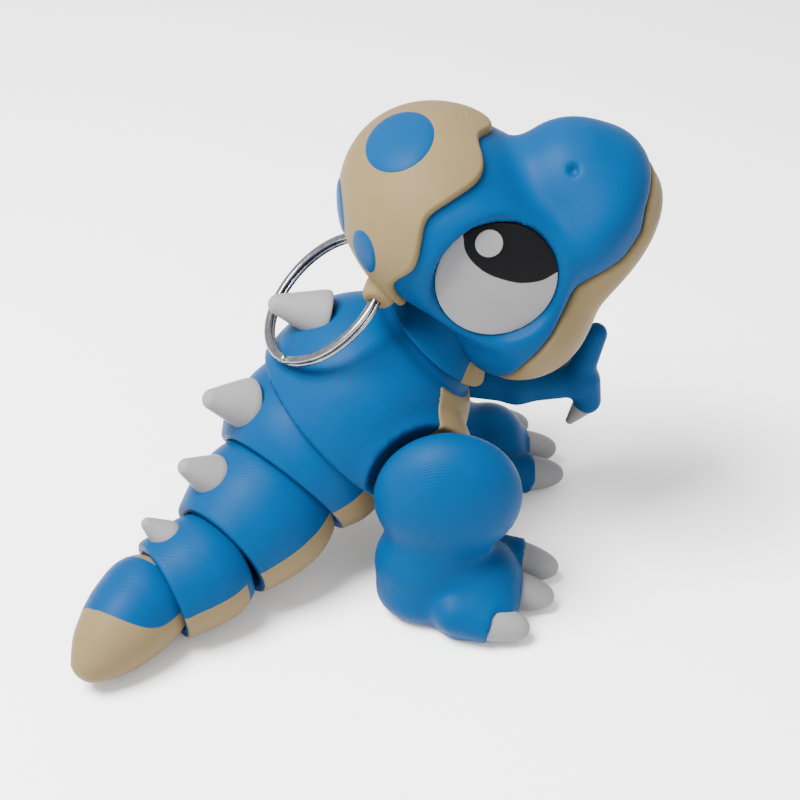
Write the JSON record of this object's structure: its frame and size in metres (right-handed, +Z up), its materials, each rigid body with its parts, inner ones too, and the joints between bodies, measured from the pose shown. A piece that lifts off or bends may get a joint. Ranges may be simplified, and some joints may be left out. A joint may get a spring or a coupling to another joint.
{
  "type": "articulated toy dinosaur keychain",
  "caption": "Posable 3D-printed baby dinosaur with a cracked eggshell cap, ball-jointed tail, pegged legs and a steel split key ring through its nape.",
  "frame": {"origin": "middle of the footprint's bounding box, on the surface the feet and tail rest on", "axes": "+Z up, +X from the tail towards the snout, +Y to the animal's left"},
  "size_m": [0.0928, 0.0694, 0.0797],
  "materials": {
    "blue_plastic": "satin, fine printed layer lines",
    "tan_plastic": "satin, fine printed layer lines",
    "white_plastic": "satin",
    "black_plastic": "satin",
    "ring_steel": "polished steel wire"
  },
  "bodies": {
    "chest": {"chest": "blue_plastic", "chest_belly": "tan_plastic", "chest_spike": "white_plastic"},
    "collar": {"neck_collar": "blue_plastic", "neck_collar_belly": "tan_plastic"},
    "head": {"cap_spot_large": "blue_plastic", "cap_spot_low": "blue_plastic", "cap_spot_rear": "blue_plastic", "eggshell_cap": "tan_plastic", "eye_left_glint": "white_plastic", "eye_left_pupil": "black_plastic", "eye_left_white": "white_plastic", "eye_right_glint": "white_plastic", "eye_right_pupil": "black_plastic", "eye_right_white": "white_plastic", "head": "blue_plastic", "jaw": "tan_plastic"},
    "ring": {"split_ring": "ring_steel"},
    "abdomen": {"abdomen": "blue_plastic", "abdomen_belly": "tan_plastic", "abdomen_spike": "white_plastic"},
    "tail_one": {"tail_one": "blue_plastic", "tail_one_belly": "tan_plastic", "tail_one_spike": "white_plastic"},
    "tail_two": {"tail_two": "blue_plastic", "tail_two_belly": "tan_plastic", "tail_two_spike": "white_plastic"},
    "tail_tip": {"tail_tip": "tan_plastic", "tail_tip_back": "blue_plastic"},
    "leg_left": {"leg_left": "blue_plastic", "leg_left_claw_inner": "white_plastic", "leg_left_claw_middle": "white_plastic", "leg_left_claw_outer": "white_plastic"},
    "leg_right": {"leg_right": "blue_plastic", "leg_right_claw_inner": "white_plastic", "leg_right_claw_middle": "white_plastic", "leg_right_claw_outer": "white_plastic"},
    "arm_left": {"arm_left": "blue_plastic", "arm_left_claw": "white_plastic"}
  },
  "joints": [
    {"name": "head_tilt", "type": "hinge", "parent": "collar", "child": "head", "pos_m": [0.01618, 0.00641, 0.0452], "axis": [-0.7006, 0.2781, 0.6571], "range_deg": [-2, 10]},
    {"name": "neck_tilt", "type": "hinge", "parent": "chest", "child": "collar", "pos_m": [0.00868, 0.00571, 0.0375], "axis": [-0.6701, 0.2455, 0.7005], "range_deg": [-3, 12]},
    {"name": "waist_bend", "type": "hinge", "parent": "chest", "child": "abdomen", "pos_m": [-0.00802, 0.00321, 0.0224], "axis": [-0.5921, -0.0968, 0.8], "range_deg": [-30, 0]},
    {"name": "tail_bend_one", "type": "hinge", "parent": "abdomen", "child": "tail_one", "pos_m": [-0.01712, -0.00558, 0.0146], "axis": [-0.4567, 0.0205, 0.8894], "range_deg": [-20, 8]},
    {"name": "tail_bend_two", "type": "hinge", "parent": "tail_one", "child": "tail_two", "pos_m": [-0.02692, -0.01569, 0.0098], "axis": [-0.3345, 0.2007, 0.9208], "range_deg": [-3, 22]},
    {"name": "tail_bend_tip", "type": "hinge", "parent": "tail_two", "child": "tail_tip", "pos_m": [-0.03582, -0.02089, 0.00805], "axis": [-0.4161, 0.0013, 0.9093], "range_deg": [-26, 0]},
    {"name": "hip_left", "type": "hinge", "parent": "chest", "child": "leg_left", "pos_m": [0.00985, 0.01651, 0.02346], "axis": [0, 1, 0], "range_deg": [-14, 5]},
    {"name": "hip_right", "type": "hinge", "parent": "chest", "child": "leg_right", "pos_m": [0.01296, -0.00426, 0.02346], "axis": [0, 1, 0], "range_deg": [-14, 8]},
    {"name": "shoulder_left", "type": "hinge", "parent": "chest", "child": "arm_left", "pos_m": [0.01438, 0.00803, 0.02857], "axis": [0.0864, 0.9631, -0.255], "range_deg": [-18, 18]},
    {"name": "ring_swing", "type": "hinge", "parent": "head", "child": "ring", "pos_m": [0.00144, 0.00427, 0.05491], "axis": [-0.1656, 0.98, 0.1107], "range_deg": [0, 40]}
  ]
}
